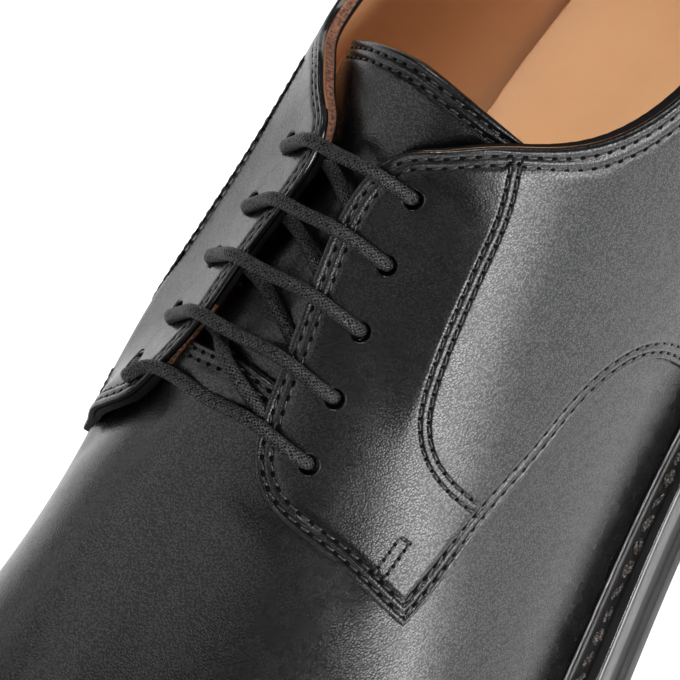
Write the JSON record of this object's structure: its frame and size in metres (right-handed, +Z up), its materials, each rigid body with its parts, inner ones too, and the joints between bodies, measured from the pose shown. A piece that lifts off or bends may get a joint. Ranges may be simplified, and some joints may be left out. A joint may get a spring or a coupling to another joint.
{
  "type": "lace-up derby shoe",
  "caption": "Plain black leather derby shoe for the left foot, with open lacing, tan lining, welted sole and stacked heel.",
  "frame": {"origin": "on the floor, at the middle of the sole's length and width", "axes": "+X towards the toe, +Y towards the wearer's left, which is the outer side of this left shoe, +Z up"},
  "size_m": [0.2998, 0.106, 0.1122],
  "materials": {
    "black_calf": "polished, fine grain",
    "welt_leather": "satin",
    "sole_edge": "satin",
    "tan_lining": "matte",
    "waxed_cotton": "waxed round cord"
  },
  "bodies": {
    "root": {"outsole": "sole_edge", "welt": "welt_leather", "heel": "sole_edge", "insole": "tan_lining", "upper": "black_calf", "tongue": "black_calf", "lace_bar_1": "waxed_cotton", "lace_bar_2": "waxed_cotton", "lace_bar_3": "waxed_cotton", "lace_bar_4": "waxed_cotton", "lace_bar_5": "waxed_cotton"}
  },
  "joints": []
}
